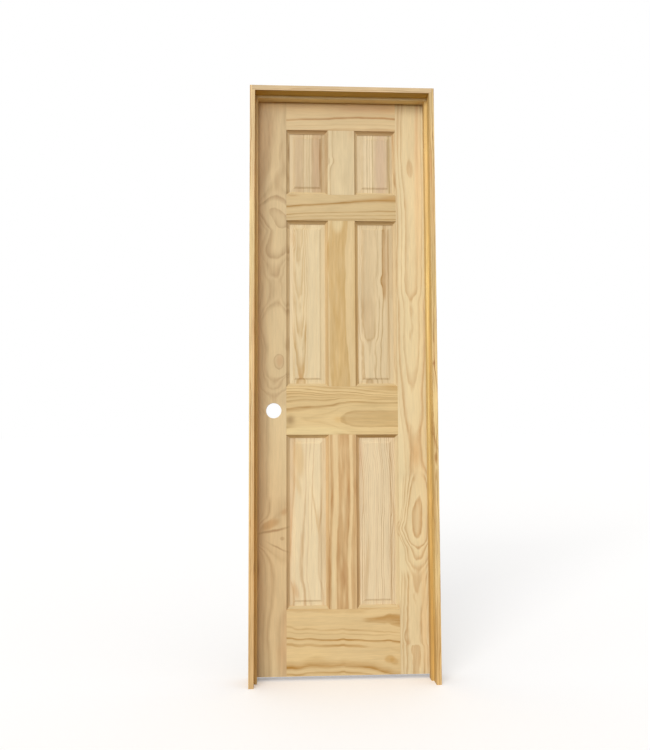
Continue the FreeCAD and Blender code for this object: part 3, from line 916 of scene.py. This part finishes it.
latchJamb = {
    "upright": True,
    "early": "#E7CC98",
    "late": "#A06A30",
    "insideShade": "#FFF0B0",
    "fine": (4.6, 1.1),
    "cloud": 0.16,
    "start": 600,
    "pith": [
        (1033, -400, 470), (300, -402, 470), (-300, -398, 470), (-1033, -400, 470),
    ],
    "rings": plainRings,
    "stainsAndPaintedLight": [
        (-6, -100, 2.2, 900, 0, 0.5, "#F0D48C", 3), (5, -300, 3.2, 620, 0, 0.5, "#DBAC70", 3),
        (-2.5, -420, 1.3, 640, 0, 0.45, "#B48244", 3), (0, -800, 30, 420, 0, 0.45, "#D6A868", 2),
        (0, 480, 30, 190, 0, 0.4, "#DEC88E", 2), (4, 700, 5, 60, 0, 0.3, "#E2BC90", 1.5),
        (4, 240, 1.6, 90, 0, 0.5, "#B98A4C", 1.5), (11, -60, 3, 26, 0, 0.6, "#8A5A22", 1.5),
        (12, -150, 3.4, 30, 0, 0.6, "#8A5A22", 1.5), (11, -640, 3.5, 20, 0, 0.7, "#8A5418", 1.5),
        (11, 620, 3, 60, 0, 0.4, "#8E6430", 1.5),
    ],
}
dressBoard("latch_jamb", latchJamb)

headJamb = {
    "upright": False,
    "early": "#DAC297",
    "late": "#A06A30",
    "insideShade": "#F6EDA0",
    "fine": (4.6, 0.6),
    "cloud": 0.12,
    "start": 600,
    "pith": [
        (-316, -400, 470), (0, -397, 470), (316, -400, 470),
    ],
    "rings": plainRings,
}
dressBoard("head_jamb", headJamb)

hingeStop = {
    "upright": True,
    "early": "#E3C47A",
    "late": "#A8702E",
    "fine": (4.2, 0.9),
    "cloud": 0.14,
    "start": 400,
    "pith": [
        (1020, -400, 40), (0, -398, 40), (-1020, -400, 40),
    ],
    "rings": plainRings,
    "stainsAndPaintedLight": [
        (0, 760, 20, 300, 0, 0.4, "#EDD094", 1), (0, 100, 20, 480, 0, 0.4, "#F4DC92", 2),
        (0, -860, 20, 380, 0, 0.5, "#C89444", 1), (3, -60, 2.5, 420, 0, 0.5, "#B98A40", 2),
    ],
}
dressBoard("hinge_stop", hingeStop)

latchStop = {
    "upright": True,
    "early": "#F9D78E",
    "late": "#A06A2C",
    "fine": (4.4, 0.9),
    "cloud": 0.14,
    "start": 400,
    "pith": [
        (1020, -400, 40), (0, -398, 40), (-1020, -400, 40),
    ],
    "rings": plainRings,
    "stainsAndPaintedLight": [
        (0, 800, 20, 300, 0, 0.5, "#E6CBA0", 1), (0, -500, 20, 700, 0, 0.4, "#D6A557", 1.5),
    ],
}
dressBoard("latch_stop", latchStop)

headStop = {
    "upright": False,
    # this pale tone is partly the wood's own and partly painted light, lifting the front face, which the
    # head jamb always shades
    "early": "#FFF2C1",
    "late": "#A8702E",
    "fine": (4.4, 0.5),
    "cloud": 0.1,
    "start": 400,
    "pith": [
        (-307, -400, 40), (0, -398, 40), (307, -400, 40),
    ],
    "rings": plainRings,
}
dressBoard("head_stop", headStop)

print("pine on", len(dressed), "boards")

# satin nickel: dull silver, whose brushed surface blurs what it mirrors; lengths in mm
hardware = {
    "colour": "#B9B4AA",
    "roughness": 0.38,
    "roughnessChange": 0.08,
    "brushMarks": (1400, 1400, 60),  # in a metre; real ones are finer, and would not show
    "sides": 32,  # of screw heads and pins
    "sharpAngle": 35,  # degrees
    "screwRadius": 4.1,
    "screwCrown": 0.35,
    "screwCrownShare": 0.8,  # how wide the crown still is at its top
    "crossHalfWidth": 0.5,
    "crossReach": 2.1,
    "crossDepth": 0.9,
    "crossTaper": 0.12,
    "screwRise": 30,  # from the middle of the hinge to its end screws
    "endScrewInset": 9.5,  # from the plate's inner edge
    "middleScrewInset": 17,
    "pinRadius": 3.1,
    "capRadius": 4.8,
    # the pin's two ends: share of the cap's radius and distance from the end
    "pinTip": ((0, 0), (0.45, 0.15), (0.8, 0.7), (0.96, 1.4), (1, 2.4)),
    "pinHead": ((0, 0), (0.45, 0.1), (0.8, 0.6), (0.96, 1.2), (1, 1.8), (1, 2.9)),
    "shankInset": (2.5, 3.0),  # where the shank starts, from the tip and from the head
}


def brushedNickel(values):
    # brushing runs up the plate, so the noise is stretched along z
    material, tree = newMaterial("satinNickel")
    roughness, change = values["roughness"], values["roughnessChange"]
    coordinates = addNode(tree, "ShaderNodeTexCoord")
    brushed = addNode(tree, "ShaderNodeVectorMath", {"operation": "MULTIPLY",
                      1: values["brushMarks"]}, {0: coordinates.outputs["Object"]})
    streaks = addNode(tree, "ShaderNodeTexNoise", {"Scale": 1.0, "Detail": 3.0},
                      {"Vector": brushed.outputs[0]})
    dulled = addNode(tree, "ShaderNodeMapRange", {"From Min": 0.3, "From Max": 0.7,
                     "To Min": roughness - change, "To Max": roughness + change},
                     {"Value": streaks.outputs[0]})
    surface = addNode(tree, "ShaderNodeBsdfPrincipled", {"Base Color": linearColour(values["colour"]),
                      "Metallic": 1.0}, {"Roughness": dulled.outputs[0]})
    addNode(tree, "ShaderNodeOutputMaterial", None, {"Surface": surface.outputs[0]})
    return material


def finishPiece(shape, name, body, material):
    # lengths were drawn in mm, the frame is in metres
    bmesh.ops.scale(shape, vec=(0.001, 0.001, 0.001), verts=shape.verts)
    bmesh.ops.recalc_face_normals(shape, faces=shape.faces)
    mesh = bpy.data.meshes.new(name)
    shape.to_mesh(mesh)
    shape.free()
    piece = bpy.data.objects.new(name, mesh)
    scene.collection.objects.link(piece)
    mesh.materials.append(material)
    mesh.shade_smooth()
    mesh.set_sharp_from_angle(angle=math.radians(hardware["sharpAngle"]))
    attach(piece, body)
    return piece


def addScrew(shape, place, facing):
    # a crowned head with a cross recess, made facing up, then turned and moved onto its plate
    head = bmesh.new()
    radius, crown = hardware["screwRadius"], hardware["screwCrown"]
    bmesh.ops.create_cone(head, cap_ends=True, segments=hardware["sides"], radius1=radius,
                          radius2=radius * hardware["screwCrownShare"], depth=crown,
                          matrix=Matrix.Translation((0, 0, crown / 2)))
    reach, half = hardware["crossReach"], hardware["crossHalfWidth"]
    for cut in (-reach, -half, half, reach):
        for normal in ((1, 0, 0), (0, 1, 0)):
            geometry = head.verts[:] + head.edges[:] + head.faces[:]
            point = [cut * part for part in normal]
            bmesh.ops.bisect_plane(head, geom=geometry, plane_co=point, plane_no=normal)
    cross = []
    for face in head.faces:
        centre = face.calc_center_median()
        far, near = max(abs(centre.x), abs(centre.y)), min(abs(centre.x), abs(centre.y))
        if face.normal.z > 0.9 and near < half and far < reach:
            cross.append(face)
    bmesh.ops.inset_region(head, faces=cross, thickness=hardware["crossTaper"],
                           depth=-hardware["crossDepth"], use_even_offset=True)
    turn = Vector((0, 0, 1)).rotation_difference(Vector(facing)).to_matrix().to_4x4()
    bmesh.ops.transform(head, matrix=Matrix.Translation(place) @ turn, verts=head.verts)
    part = bpy.data.meshes.new("screw")
    head.to_mesh(part)
    head.free()
    shape.from_mesh(part)
    bpy.data.meshes.remove(part)


def addScrews(hinge, side, body, faceX, facing, material):
    low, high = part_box(hinge + "_hinge_" + side + "_leaf")
    innerEdge, middle = 1000 * low.y, 500 * (low.z + high.z)
    shape = bmesh.new()
    for rise in (-hardware["screwRise"], 0, hardware["screwRise"]):
        inset = hardware["endScrewInset"] if rise else hardware["middleScrewInset"]
        addScrew(shape, (faceX, innerEdge + inset, middle + rise), facing)
    finishPiece(shape, hinge + "HingeScrews_" + side, body, material)


def addPin(hinge, material):
    # a turned pin, its head and tip domed
    node = hinge + "_hinge_pin"
    low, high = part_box(node)
    foot, top = 1000 * low.z, 1000 * high.z
    axisX, axisY = 500 * (low.x + high.x), 500 * (low.y + high.y)
    cap, shank = hardware["capRadius"], hardware["pinRadius"]
    tipInset, headInset = hardware["shankInset"]
    profile = [(cap * share, foot + rise) for share, rise in hardware["pinTip"]]
    profile += [(shank, foot + tipInset), (shank, top - headInset)]
    profile += [(cap * share, top - drop) for share, drop in reversed(hardware["pinHead"])]
    shape = bmesh.new()
    points = [shape.verts.new((axisX + radius, axisY, z)) for radius, z in profile]
    edges = [shape.edges.new(pair) for pair in zip(points, points[1:])]
    bmesh.ops.spin(shape, geom=points + edges, cent=(axisX, axisY, 0), axis=(0, 0, 1), angle=math.tau,
                   steps=hardware["sides"], use_merge=True)
    bmesh.ops.remove_doubles(shape, verts=shape.verts, dist=0.001)
    piece = finishPiece(shape, hinge + "HingePinTurned", "door_frame", material)
    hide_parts(node)


nickel = brushedNickel(hardware)
for name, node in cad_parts.items():
    if name not in dressed:
        node.data.materials.clear()
        node.data.materials.append(nickel)
stileEdge = 1000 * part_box("hinge_stile")[1].x
jambFace = 1000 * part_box("hinge_jamb")[0].x
for hinge in ("top", "middle", "bottom"):
    addScrews(hinge, "jamb", "door_frame", jambFace, (-1, 0, 0), nickel)
    addScrews(hinge, "door", "door_leaf", stileEdge, (1, 0, 0), nickel)
    addPin(hinge, nickel)
print("hinges in nickel, with screws and pins")
